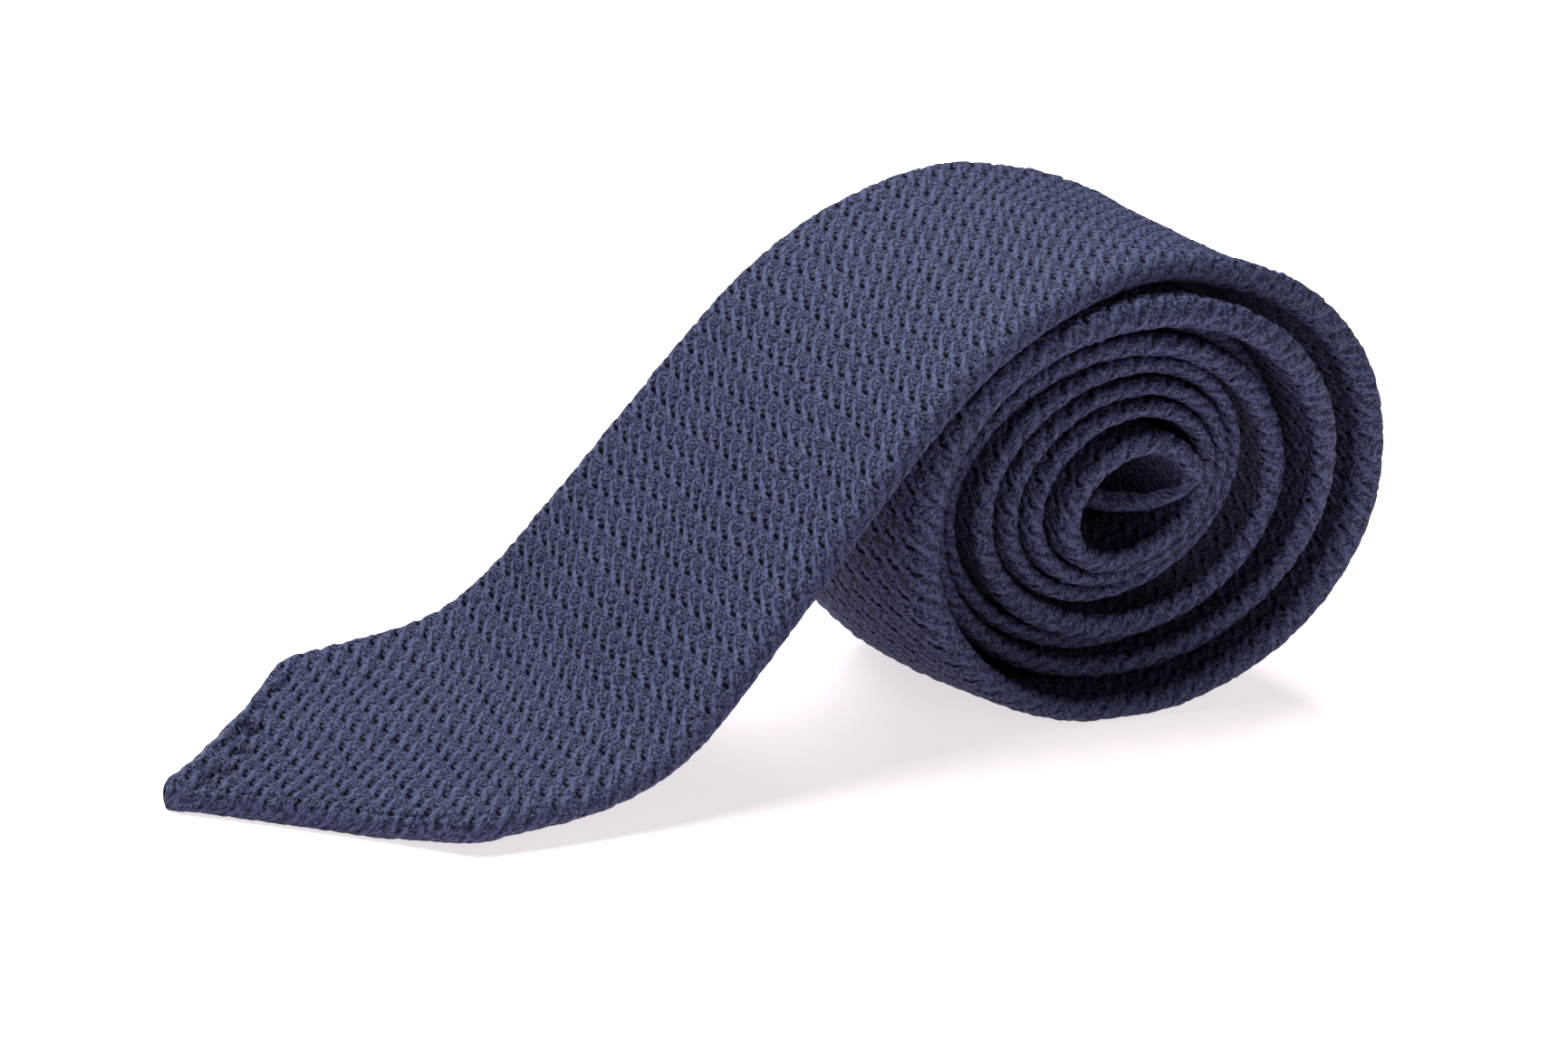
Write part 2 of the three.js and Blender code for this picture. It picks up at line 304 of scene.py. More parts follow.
def middle_line():
    """The middle of the cloth at even steps of length, as arrays by name"""
    join_x, join_z = roll_points(np.arange(LEAD_JOINS) / PARTS_OF_TURN)
    x_rows = np.concatenate([table(LEAD, "x"), join_x])
    z_rows = np.concatenate([table(LEAD, "z"), join_z])
    chord = np.concatenate([[0], np.cumsum(np.hypot(np.diff(x_rows), np.diff(z_rows)))])
    lead_end = chord[len(LEAD)]
    lead = np.arange(0, lead_end, PATH_STEP)
    turns = np.arange(0, ROLL_END, 1 / TURN_SAMPLES)
    roll_x, roll_z = roll_points(turns)
    x = np.concatenate([spline(chord, x_rows, lead), roll_x])
    z = np.concatenate([spline(chord, z_rows, lead), roll_z])
    turn = np.concatenate([np.zeros(len(lead)), turns])
    share = np.concatenate([lead / lead_end, np.ones(len(turns))])
    length = np.concatenate([[0], np.cumsum(np.hypot(np.diff(x), np.diff(z)))])
    total = length[-1]
    place = np.arange(0, total, PATH_STEP)
    line = {"place": place, "total": total}
    for name, values in (("x", x), ("z", z), ("turn", turn), ("share", share)):
        line[name] = np.interp(place, length, values)
    taper_places = [0, NECK_START, NECK_END, total]
    even = np.interp(place, taper_places, [BLADE_WIDTH, NECK_WIDTH, NECK_WIDTH, TAIL_WIDTH])
    to_end = np.minimum(place, total - place)
    pointed = 2 * np.sqrt(to_end * to_end + 2 * TIP_RADIUS * to_end * np.exp(-to_end / TIP_FADE))
    mix = np.clip(0.5 + (even - pointed) / (2 * CORNER_ROUNDING), 0, 1)
    line["width"] = even + (pointed - even) * mix - CORNER_ROUNDING * mix * (1 - mix)
    from_tip = np.clip(1 - to_end / TIP_RADIUS, 0, 1)
    bull_nose = np.sqrt(1 - from_tip * from_tip)
    thick = soften(read_table(THICKNESS, "turn", "thick", line["turn"]), SOFT_THICKNESS)
    line["half"] = thick / 2 * bull_nose
    line["z"] = np.maximum(line["z"], thick / 2)
    lean = np.clip((line["turn"] - COIL_LEAN_FROM) / (COIL_LEAN_FULL - COIL_LEAN_FROM), 0, 1)
    leaning = COIL_LEAN_UP * (line["z"] - AXIS_Z) + COIL_LEAN_RIGHT * (line["x"] - AXIS_X)
    shift = read_table(SIDEWAYS, "turn", "shift", line["turn"]) * line["share"]
    line["y"] = soften(shift + lean * leaning, SOFT_SHIFT)
    line["more"] = soften(read_table(ROPE, "turn", "more", line["turn"]), SOFT_ROPE)
    line["inward"] = soften(read_table(ROPE, "turn", "inward", line["turn"]), SOFT_ROPE)
    line["bow"] = soften(read_table(BOW, "turn", "out", line["turn"]), SOFT_BOW)
    line["sag"] = soften(read_table(SAG, "turn", "inward", line["turn"]), SOFT_BOW)
    step_x = np.gradient(soften(line["x"], SOFT_DIRECTION))
    step_z = np.gradient(soften(line["z"], SOFT_DIRECTION))
    size = np.hypot(step_x, step_z)
    line["along_x"] = step_x / size
    line["along_z"] = step_z / size
    return line


line = middle_line()


def at_place(name, places):
    return np.interp(places, line["place"], line[name])


def place_of_turn(turn):
    return float(np.interp(turn, line["turn"], line["place"]))


WAVE_PACES = (0.6, 1.5)  # the slowest and the quickest wave, against the given size


def waves(seed, count, across_size, down_size):
    """Fixed random waves about the given sizes in millimetres, as a function of across and down"""
    random = np.random.default_rng(seed)
    angle = random.uniform(0, 2 * np.pi, count)
    pace = random.uniform(*WAVE_PACES, count)
    phase = random.uniform(0, 2 * np.pi, count)
    k_across = 2 * np.pi * np.cos(angle) * pace / across_size
    k_down = 2 * np.pi * np.sin(angle) * pace / down_size

    def height(across, down):
        total = np.zeros(np.broadcast(across, down).shape)
        for i in range(count):
            total += np.sin(k_across[i] * across + k_down[i] * down + phase[i])
        return total / math.sqrt(count / 2)

    return height


drift_across = waves(seed=3, count=7, across_size=30, down_size=34)
drift_down = waves(seed=4, count=7, across_size=34, down_size=30)
jitter_across = waves(seed=5, count=9, across_size=6, down_size=7)
jitter_down = waves(seed=6, count=9, across_size=6, down_size=7)
uneven = waves(seed=7, count=9, across_size=7, down_size=8)
billow = waves(seed=8, count=6, across_size=45, down_size=60)

DRIFT = 0.38  # millimetres that the yarns wander over a few repeats
JITTER = 0.06  # and from one repeat to the next
LATTICE = np.array([STEP_ACROSS, STEP_DOWN]).T
TO_CELL = np.linalg.inv(LATTICE)


def weave_cell(across, down):
    """Place in the weave, counted in repeats each way, with the hand-woven drift of the yarns in it"""
    a = across + DRIFT * drift_across(across, down) + JITTER * jitter_across(across, down)
    d = down + DRIFT * drift_down(across, down) + JITTER * jitter_down(across, down)
    return TO_CELL[0, 0] * a + TO_CELL[0, 1] * d, TO_CELL[1, 0] * a + TO_CELL[1, 1] * d


def element_metric(row, least_wide=0.0):
    """Matrix that turns a step in cell counts into the element's own frame, 1 at its outer edge"""
    turn = math.radians(row["turn"])
    own = np.array([[math.cos(turn), math.sin(turn)], [-math.sin(turn), math.cos(turn)]])
    size = np.diag([1 / max(row["long"], least_wide), 1 / max(row["wide"], least_wide)])
    return size @ own @ LATTICE


def element_reach(row, cell_a, cell_d, least_wide=0.0):
    """Distance from the nearest copy of an element, 1 at its outer edge"""
    centre = TO_CELL @ np.array([row["across"], row["down"]])
    step_a = cell_a - centre[0]
    step_d = cell_d - centre[1]
    step_a = step_a - np.round(step_a)
    step_d = step_d - np.round(step_d)
    metric = element_metric(row, least_wide)
    one = metric[0, 0] * step_a + metric[0, 1] * step_d
    two = metric[1, 0] * step_a + metric[1, 1] * step_d
    return np.sqrt(one * one + two * two)


def weave_height(across, down):
    cell_a, cell_d = weave_cell(across, down)
    height = np.zeros(cell_a.shape)
    for row in RIDGES:
        height += row["rise"] * (1 - smooth_step(RIDGE_TOP, 1.0, element_reach(row, cell_a, cell_d)))
    for row in HOLLOWS:
        reach = element_reach(row, cell_a, cell_d, LEAST_WIDE)
        height -= row["dip"] * (1 - smooth_step(HOLLOW_FLOOR, 1.0, reach))
    row_rise = np.interp(down, [ROWS_CALM_FROM, ROWS_CALM_AT], [ROW_RISE, ROW_RISE_ROLLED])
    height -= row_rise * np.cos(2 * np.pi * (cell_a - cell_d))
    return height * (1 + WEAVE_UNEVEN * uneven(across, down)) - WEAVE_SUNK


# Dents of the rolled hem on the far side of the point, from the tip and from the middle line
HEM_DENTS = [
    dict(down=16.75, across=8.0, deep=1.6, size=1.9),
    dict(down=22.0, across=14.75, deep=1.4, size=1.9),
    dict(down=10.75, across=1.75, deep=1.4, size=1.8),
    dict(down=7.0, across=-1.0, deep=0.8, size=1.3),
]
DENT_PAINTED_SHADE_SHARE = 0.7  # width of the painted shade in the middle of a dent, against the whole of the dent
HEM_END = BLADE_WIDTH / 2
HEM_END_BLEND = 4.0  # the hems fade out from this far before their end to this far after it

# The rolled hems of the point: how far inside the edge each form runs, its height and its half width
HEM_RISE_IN = 2.2
HEM_RISE = 0.35
HEM_RISE_HALF = 1.5
HEM_RISE_UNEVEN = 0.8
HEM_GROOVE_IN = 4.6
HEM_GROOVE = 0.5
HEM_GROOVE_HALF = 1.3
HEM_GROOVE_UNEVEN = 0.6
NEAR_GROOVE_IN = 2.0
NEAR_GROOVE = 0.5
NEAR_GROOVE_HALF = 0.6
NEAR_LINE_HALF = 0.5  # half width of the line of painted shade in that groove
NEAR_LINE_PAINTED_SHADE = 0.45
NEAR_LINE_ROUND = 0.5  # how far round the edge that line shows


def dent_depths(across, down, spread):
    """Depth of the hem's dents, one after the other, each as wide as its size times the spread"""
    for row in HEM_DENTS:
        away = np.hypot(down - row["down"], across - row["across"])
        yield row["deep"] * bell(away, 0, row["size"] * spread)


def hem_height(across, down, edge):
    """The hems of the point, which rise and have a groove on the inside, and the dents of the far one"""
    far_inside = (edge - across) / math.sqrt(2)
    rise = HEM_RISE * bell(far_inside, HEM_RISE_IN, HEM_RISE_HALF)
    rise = rise * (1 + HEM_RISE_UNEVEN * jitter_down(across, down))
    groove = HEM_GROOVE * bell(far_inside, HEM_GROOVE_IN, HEM_GROOVE_HALF)
    groove = groove * (1 + HEM_GROOVE_UNEVEN * uneven(across, down))
    near_inside = (edge + across) / math.sqrt(2)
    near_groove = NEAR_GROOVE * bell(near_inside, NEAR_GROOVE_IN, NEAR_GROOVE_HALF)
    on_hem = smooth_step(HEM_END + HEM_END_BLEND, HEM_END - HEM_END_BLEND, down)
    height = (rise - groove - near_groove) * on_hem
    for depth in dent_depths(across, down, 1):
        height -= depth
    return height


BACK_GROOVE = 0.5  # depth of the seam along the middle of the back
BACK_GROOVE_HALF = 1.3
GROOVE_START = 55.0  # the place where the seam begins to show
GROOVE_FULL = 75.0
MARGIN_CALM = 0.6  # share of a margin, from the edge, on which the relief is whole


def even_shares(width, step):
    count = max(int(round(width / step)), 6)
    return [(i / count, 1.0) for i in range(count)]


def margin_shares(width, margin, step, middle):
    """Shares across a hidden stretch whose two margins show: fine steps there, few between them"""
    fine = max(int(round(margin / step)), 2)
    shares = []
    for i in range(fine):
        relief = smooth_step(margin, MARGIN_CALM * margin, i * margin / fine)
        shares.append((i * margin / width / fine, relief))
    for i in range(middle):
        shares.append((margin / width + (1 - 2 * margin / width) * i / middle, 0.0))
    for i in range(fine):
        away = margin * (1 - i / fine)
        shares.append((1 - away / width, smooth_step(margin, MARGIN_CALM * margin, away)))
    return shares


def section_columns(face, fold, back):
    """Columns round the section: zone, place within it from 0 to 1, and share of the relief there"""
    columns = [("face", share, relief) for share, relief in face]
    columns += [("far", i / fold, 1.0) for i in range(fold)]
    columns += [("back", share, relief) for share, relief in back]
    columns += [("near", i / fold, 1.0) for i in range(fold)]
    return columns


# Outward swelling of the cloth beside its far folded edge, where the blade's corner lifts off the table
FAR_LIFT = [
    dict(place=0, lift=0.3),
    dict(place=20, lift=0.5),
    dict(place=36, lift=1.3),
    dict(place=50, lift=1.5),
    dict(place=80, lift=1.2),
    dict(place=120, lift=0.8),
    dict(place=185, lift=1),
    dict(place=215, lift=1.3),
    dict(place=250, lift=1.1),
    dict(place=300, lift=0),
]
FAR_LIFT_WIDTH = 16.0

# The outer turn stands prouder beside its near folded edge
NEAR_PUFF = [
    dict(place=110, puff=0),
    dict(place=180, puff=0.3),
    dict(place=230, puff=0.9),
    dict(place=265, puff=1.8),
    dict(place=290, puff=1),
    dict(place=315, puff=0.2),
    dict(place=345, puff=0.2),
    dict(place=400, puff=0.5),
    dict(place=450, puff=0),
]
NEAR_PUFF_WIDTH = 10.0
SWELLING_FROM = -1.0  # both swell the cloth from where its surface faces inward, and fully from
SWELLING_FULL = 0.4  # where it faces this far outward

# How far the two folded edges stand outside the straight outline, or inside it where "out" is negative
NEAR_EDGE = [
    dict(place=0, out=0.2),
    dict(place=10, out=-0.2),
    dict(place=26, out=-1.5),
    dict(place=38, out=-1.2),
    dict(place=52, out=0.3),
    dict(place=70, out=1.2),
    dict(place=100, out=1.3),
    dict(place=170, out=1),
    dict(place=230, out=0.2),
    dict(place=300, out=0),
]
FAR_EDGE = [
    dict(place=20, out=0),
    dict(place=27, out=-0.6),
    dict(place=33, out=-0.9),
    dict(place=38, out=-0.3),
    dict(place=42, out=0),
]
EDGE_REACH = 12.0  # how far in from an edge the cloth moves with it
FOLD_ROUNDNESS = 1.45  # how much wider a rounded edge is than half the cloth's thickness
POINT_ROUNDNESS = {"far": 2.1, "near": 1.25}  # the same across the two slanting hems of the point
POINT_SHAPE_FULL = 30.0  # up to this place the cloth has the roundness of the point
POINT_SHAPE_END = 42.0
DISH = 0.14  # how far the middle of the face sinks, against half the cloth's thickness
BILLOW = 0.25
BILLOW_EDGE = 12.0  # the face lies calmer within this distance of an edge
TIP_CALM = 6.0  # where half the width is less than this, the relief fades
TABLE_CLEARANCE = 0.02


def point_share(places):
    return smooth_step(POINT_SHAPE_END, POINT_SHAPE_FULL, places)[:, None]


def plain_section(places, columns, relief_back):
    """The folded cloth before its soft changes, as arrays of rows by columns, by name"""
    half = at_place("half", places)[:, None]
    edge = at_place("width", places)[:, None] / 2
    on_point = point_share(places)
    fold = {}
    inner = {}
    arc = {}
    for zone, point_roundness in POINT_ROUNDNESS.items():
        roundness = FOLD_ROUNDNESS + (point_roundness - FOLD_ROUNDNESS) * on_point
        fold[zone] = np.minimum(half * roundness, SHOULDER_SHARE * edge)
        inner[zone] = edge - fold[zone]
        arc[zone] = (fold[zone] + half) / 2 * math.pi
    flat = (inner["far"] + inner["near"]) / 2
    centre = (inner["far"] - inner["near"]) / 2
    groove_share = smooth_step(GROOVE_START, GROOVE_FULL, places)[:, None]
    sag = at_place("sag", places)[:, None]
    names = ("v", "out", "across", "normal_v", "normal_out", "relief", "bend")
    section = {name: np.zeros((len(places), len(columns))) for name in names}
    for i, (zone, share, kept) in enumerate(columns):
        column = {name: section[name][:, i : i + 1] for name in names}
        if zone == "face":
            side = 2 * share - 1
            column["v"][:] = centre + flat * side
            column["out"][:] = half - DISH * half * (1 - side * side)
            column["across"][:] = centre + flat * side
            column["normal_out"][:] = 1
            column["relief"][:] = kept
        elif zone == "back":
            side = 1 - 2 * share
            groove = BACK_GROOVE * bell(flat * side, 0, BACK_GROOVE_HALF) * groove_share
            column["v"][:] = centre + flat * side
            column["out"][:] = groove - half - sag * (1 - side * side)
            column["across"][:] = inner["far"] + arc["far"] + flat * (1 - side)
            column["normal_out"][:] = -1
            column["relief"][:] = relief_back * kept
        else:
            sign = 1 if zone == "far" else -1
            angle = math.pi * share if zone == "far" else math.pi * (1 - share)
            turned = math.sin(angle)
            steep = np.hypot(half * turned, fold[zone] * math.cos(angle))
            beside = 1.0 if angle < math.pi / 2 else relief_back
            column["v"][:] = sign * (inner[zone] + fold[zone] * turned)
            column["out"][:] = half * math.cos(angle)
            column["across"][:] = sign * (inner[zone] + arc[zone] * angle / math.pi)
            column["normal_v"][:] = sign * half * turned / steep
            column["normal_out"][:] = fold[zone] * math.cos(angle) / steep
            column["relief"][:] = beside + (1 - EDGE_FADE - beside) * turned
            column["bend"][:] = turned
    return section


def shape_rows(places, columns, relief_back):
    """Points of the cloth's surface, and their place in the weave, their bend and the painted shade of the
    hem's dents and groove
    """
    down = np.broadcast_to(places[:, None], (len(places), len(columns)))
    half = at_place("half", places)[:, None]
    edge = at_place("width", places)[:, None] / 2
    section = plain_section(places, columns, relief_back)
    v = section["v"]
    across = section["across"]
    normal_out = section["normal_out"]
    out = section["out"] + at_place("bow", places)[:, None] * (1 - (v / edge) ** 2)
    rope = bell(edge + v, 0, ROPE_WIDTH)
    out = out * (1 + rope * at_place("more", places)[:, None] / half)
    out = out - rope * at_place("inward", places)[:, None]

    on_face = np.clip(normal_out, 0, 1)
    wide_enough = smooth_step(0, TIP_CALM, edge)
    height = section["relief"] * weave_height(across, down) + on_face * hem_height(v, down, edge)
    height = height * wide_enough
    # Painted shade: a dark line along the near groove of the point, and dark middles in the dents of the
    # far hem
    near_painted_line = bell((edge + v) / math.sqrt(2), NEAR_GROOVE_IN, NEAR_LINE_HALF) * point_share(places)
    near_painted_line = NEAR_LINE_PAINTED_SHADE * near_painted_line * np.clip(normal_out + NEAR_LINE_ROUND, 0, 1)
    dent_painted_shade = np.minimum(sum(dent_depths(v, down, DENT_PAINTED_SHADE_SHARE)), 1)
    painted_shade = np.minimum(dent_painted_shade * on_face + near_painted_line, 1)

    near_out = read_table(NEAR_EDGE, "place", "out", places)[:, None]
    far_out = read_table(FAR_EDGE, "place", "out", places)[:, None]
    v = v - near_out * smooth_step(EDGE_REACH, 0, edge + v) + far_out * smooth_step(EDGE_REACH, 0, edge - v)
    v = v + section["normal_v"] * height
    out = out + normal_out * height
    off_edges = smooth_step(0, BILLOW_EDGE, edge - np.abs(v))
    out = out + BILLOW * billow(v, down) * on_face * wide_enough * off_edges
    upper = smooth_step(SWELLING_FROM, SWELLING_FULL, normal_out)
    lift = read_table(FAR_LIFT, "place", "lift", places)[:, None]
    out = out + lift * smooth_step(FAR_LIFT_WIDTH, 0, edge - v) * upper
    puff = read_table(NEAR_PUFF, "place", "puff", places)[:, None]
    out = out + puff * smooth_step(NEAR_PUFF_WIDTH, 0, edge + v) * upper

    x = at_place("x", places)[:, None] - at_place("along_z", places)[:, None] * out
    y = at_place("y", places)[:, None] + v
    z = at_place("z", places)[:, None] + at_place("along_x", places)[:, None] * out
    z = np.maximum(z, TABLE_CLEARANCE)
    points = np.stack([x + TIP_PLACE[0], y + TIP_PLACE[1], z], -1)
    return points, np.stack(weave_cell(across, down), -1), section["bend"], painted_shade


def surface_normals(points):
    """Outward normals at the points of a grid whose columns close up into rings"""
    down_step = np.zeros_like(points)
    down_step[1:-1] = points[2:] - points[:-2]
    down_step[0] = points[1] - points[0]
    down_step[-1] = points[-1] - points[-2]
    across_step = np.roll(points, -1, 1) - np.roll(points, 1, 1)
    normals = np.cross(down_step, across_step)
    size = np.linalg.norm(normals, axis=2, keepdims=True)
    return normals / np.maximum(size, 1e-12)


def end_normals(places):
    """Normals of the two end caps, along the cloth and away from it"""
    rows = []
    for place, sign in ((places[0], -1), (places[-1], 1)):
        along_x = float(at_place("along_x", place))
        along_z = float(at_place("along_z", place))
        rows.append((sign * along_x, 0.0, sign * along_z))
    return np.array(rows)


CAP_RING = 0.3  # size of the ring inside an end of a piece, against the cloth's thickness there
CAP_RING_WIDTH = 0.96


def cap_ring(ring, place):
    """The ring that an end's faces run in to, well below the hollows of the weave"""
    middle = np.array([at_place("x", place) + TIP_PLACE[0], 0.0, at_place("z", place)])
    middle[1] = ring[:, 1].mean()
    size = np.array([CAP_RING, CAP_RING_WIDTH, CAP_RING])
    return middle + (ring - middle) * size


def ring_faces(rows, around):
    """Quads round a strip of rings and an inner ring at each end, and triangles to a hub, all outward"""
    count = rows * around
    grid = np.arange(count).reshape(rows, around)
    right = np.roll(grid, -1, 1)
    inner = count + np.arange(2 * around).reshape(2, around)
    inner_right = np.roll(inner, -1, 1)
    hub = count + 2 * around
    strip = np.stack([grid[:-1], grid[1:], right[1:], right[:-1]], -1).reshape(-1, 4)
    first_band = np.stack([inner[0], grid[0], right[0], inner_right[0]], -1)
    last_band = np.stack([inner[1], inner_right[1], right[-1], grid[-1]], -1)
    first_fan = np.stack([np.full(around, hub), inner[0], inner_right[0]], -1)
    last_fan = np.stack([np.full(around, hub + 1), inner_right[1], inner[1]], -1)
    return np.concatenate([strip, first_band, last_band]), np.concatenate([first_fan, last_fan])


def mesh_from(name, vertices, quads, triangles):
    mesh = bpy.data.meshes.new(name)
    loops = np.concatenate([quads.ravel(), triangles.ravel()])
    starts = np.concatenate([np.arange(len(quads)) * 4, quads.size + np.arange(len(triangles)) * 3])
    mesh.vertices.add(len(vertices))
    mesh.vertices.foreach_set("co", vertices.astype(np.float32).ravel())
    mesh.loops.add(len(loops))
    mesh.loops.foreach_set("vertex_index", loops.astype(np.int32))
    mesh.polygons.add(len(starts))
    mesh.polygons.foreach_set("loop_start", starts.astype(np.int32))
    mesh.update(calc_edges=True)
    mesh.polygons.foreach_set("use_smooth", np.ones(len(starts), bool))
    return mesh


def add_map(mesh, name, corners):
    layer = mesh.uv_layers.new(name=name)
    layer.uv.foreach_set("vector", corners.astype(np.float32).ravel())


def cloth_piece(name, start, end, step, columns, relief_back):
    """A closed piece of the tie between two places along it"""
    gap_start = SEAM_GAP / 2 if start in SEAMS else 0.0
    gap_end = SEAM_GAP / 2 if end in SEAMS else 0.0
    rows = max(int(round((end - start) / step)), 2) + 1
    places = np.linspace(start + gap_start, end - gap_end, rows)
    before = max(2 * places[0] - places[1], TIP_START)
    after = min(2 * places[-1] - places[-2], TIE_END)
    longer = np.concatenate([[before], places, [after]])
    points, cells, bend, painted_shade = shape_rows(longer, columns, relief_back)
    normals = surface_normals(points)[1:-1]
    points, cells, bend, painted_shade = points[1:-1], cells[1:-1], bend[1:-1], painted_shade[1:-1]

    around = len(columns)
    count = rows * around
    rings = np.concatenate([cap_ring(points[0], places[0]), cap_ring(points[-1], places[-1])])
    hubs = np.stack([rings[:around].mean(0), rings[around:].mean(0)])
    quads, triangles = ring_faces(rows, around)
    mesh = mesh_from(name, np.concatenate([points.reshape(-1, 3), rings, hubs]) * MM, quads, triangles)

    loops = np.concatenate([quads.ravel(), triangles.ravel()])
    hub_cells = np.stack([cells[0].mean(0), cells[-1].mean(0)])
    corner_cells = np.concatenate([cells.reshape(-1, 2), cells[0], cells[-1], hub_cells])[loops]
    # The last column of a row joins the first, so its faces continue the count past the seam of the map.
    strip_column = np.arange((rows - 1) * around) % around
    joins = np.zeros(len(loops), bool)
    joins[: strip_column.size * 4] = np.repeat(strip_column == around - 1, 4)
    use = joins & (loops % around == 0) & (loops < count)
    continued = cells[:, -1] + (cells[:, -1] - cells[:, -2])
    corner_cells[use] = continued[loops[use] // around]
    add_map(mesh, "Weave", corner_cells)
    # The second value of the fold map carries the painted shade of the hem's dents and groove line.
    bend_vertex = np.concatenate([bend.ravel(), bend[0], bend[-1], [1, 1]])
    painted_shade_vertex = np.concatenate([painted_shade.ravel(), painted_shade[0], painted_shade[-1], [0, 0]])
    add_map(mesh, "FoldAndPaintedShade", np.stack([bend_vertex[loops], painted_shade_vertex[loops]], -1))
    mesh.validate()

    # The normals run on from one piece into the next, so that the joint between them can't be seen.
    ending = end_normals(places)
    outward = np.concatenate([normals.reshape(-1, 3), np.repeat(ending, around, 0), ending])
    mesh.normals_split_custom_set_from_vertices(outward.tolist())
    obj = bpy.data.objects.new(name, mesh)
    bpy.context.scene.collection.objects.link(obj)
    return obj


class Nodes:
    """Short calls that add nodes to one material and link them"""

    def __init__(self, tree):
        self.tree = tree

    def add(self, kind, **settings):
        node = self.tree.nodes.new(kind)
        for name, value in settings.items():
            setattr(node, name, value)
        return node

    def put(self, node, slot, value):
        socket = node.inputs[slot]
        if isinstance(value, bpy.types.NodeSocket):
            self.tree.links.new(value, socket)
        else:
            socket.default_value = value

    def fill(self, kind, values, out=0, **settings):
        node = self.add(kind, **settings)
        for i, value in enumerate(values):
            self.put(node, i, value)
        return node.outputs[out]

    def math(self, operation, *values):
        return self.fill("ShaderNodeMath", values, operation=operation)

    def vector(self, operation, *values, out=0):
        return self.fill("ShaderNodeVectorMath", values, out, operation=operation)

    def ramp(self, value, from_low, from_high, to_low, to_high):
        ends = (value, from_low, from_high, to_low, to_high)
        return self.fill("ShaderNodeMapRange", ends, interpolation_type="SMOOTHSTEP")

    def mix(self, share, one, two):
        node = self.add("ShaderNodeMix", data_type="RGBA")
        self.put(node, 0, share)
        self.put(node, 6, one)
        self.put(node, 7, two)
        return node.outputs[2]

    def element(self, cell, row):
        """Distance from the nearest copy of an element, 1 at its outer edge, and the place in it"""
        centre = TO_CELL @ np.array([row["across"], row["down"]])
        low = (centre[0] - 0.5, centre[1] - 0.5, -0.5)
        high = (centre[0] + 0.5, centre[1] + 0.5, 0.5)
        near = self.vector("WRAP", cell, high, low)
        _, scales, turned = np.linalg.svd(element_metric(row))
        if np.linalg.det(turned) < 0:
            turned[1] = -turned[1]
        node = self.add("ShaderNodeMapping", vector_type="TEXTURE")
        self.put(node, "Vector", near)
        self.put(node, "Location", (centre[0], centre[1], 0.0))
        self.put(node, "Rotation", (0.0, 0.0, math.atan2(turned[0, 1], turned[0, 0])))
        self.put(node, "Scale", (1 / scales[0], 1 / scales[1], 1.0))
        return self.vector("LENGTH", node.outputs[0], out=1), node.outputs[0]


# The yarn's finest detail. Lengths and noise scales are in repeats of the weave. A pair is for flat cloth
# and for the crest of a folded edge, which counts from FOLD_FROM on.
FOLD_FROM = 0.3
STRAY = 0.07  # how far the strands stray from their even places
STRAY_SCALE = 3.0
HOLLOW_CORE = 0.5  # the painted shade of a hollow is darkest up to here, and ends at HOLLOW_RIM
HOLLOW_RIM = 1.05
CLOSE_FROM = 0.35  # the bend at which the painted shade of the holes begins to fade
OPEN_ON_FOLD = 0.4  # how much of that painted shade is left on the crest of a folded edge
# how dark the painted shade of the hem's dents and groove line comes out
DENT_PAINTED_SHADE = 0.7
KNOT_CORE = 0.8  # a knot's spiral is clear up to here, and ends at KNOT_RIM
KNOT_RIM = 1.1
KNOT_RINGS = 1.6  # rounds of yarn between the middle of a knot and its edge
KNOT_TURN_SCALE = 1.3  # the spirals of neighbouring knots start at different angles
KNOT_TURN = 5.0
FLOAT_CORE = 0.3  # a float's painted highlight is strongest up to here
FLOAT_STRANDS = 0.4  # how clearly the strands of the floats show against those of the knots
FLOAT_STRAND_STEPS = (-5.0, 10.0, 0.0)  # strands in one repeat each way
SPECK_SCALE = 7.5
SPECK_SHARE = 1.15  # strength of the specks on the knots
SPECK_CALM = -0.6  # and its change on the floats
STRAND_PAINTED_LIGHT = (0.06, 0.05)  # painted highlight on the crest of a strand, and painted shade between strands
FLOAT_PAINTED_LIGHT = (0.08, 0.04)  # painted highlight on a raised float
ROW_PAINTED_SHADE = -0.04  # painted shade in the valleys between the rows, and painted light on their ridges
DARK_AT = 0.37  # the yarn is darkest below this brightness
LIGHT_AT = 0.67  # and lightest above this one
# The two ends of the yarn's colour: between them lie random specks of tone and the painted highlights and
# shade of strands, floats and rows
YARN_LIGHT = (0.068, 0.078, 0.151, 1)
YARN_DARK = (0.012, 0.0135, 0.032, 1)
# Near-black colour of the painted shade in the hollows
HOLLOW_PAINTED_SHADE = (0.001, 0.0012, 0.005, 1)
YARN_ROUGHNESS = 0.55
HOLLOW_ROUGHER = 0.3  # added in the hollows
YARN_SPECULAR = 0.05
BUMP_STRENGTH = 0.8
BUMP_DEPTH = 0.22
STRAND_BUMP = -0.15  # the bump runs against the relief of the mesh, which softens it a little
SPECK_BUMP = -1.1


def noise(n, cell, scale, detail, **others):
    """A flat noise over the repeats of the weave"""
    node = n.add("ShaderNodeTexNoise", noise_dimensions="2D")
    n.put(node, "Vector", cell)
    n.put(node, "Scale", scale)
    n.put(node, "Detail", detail)
    for name, value in others.items():
        n.put(node, name, value)
    return node


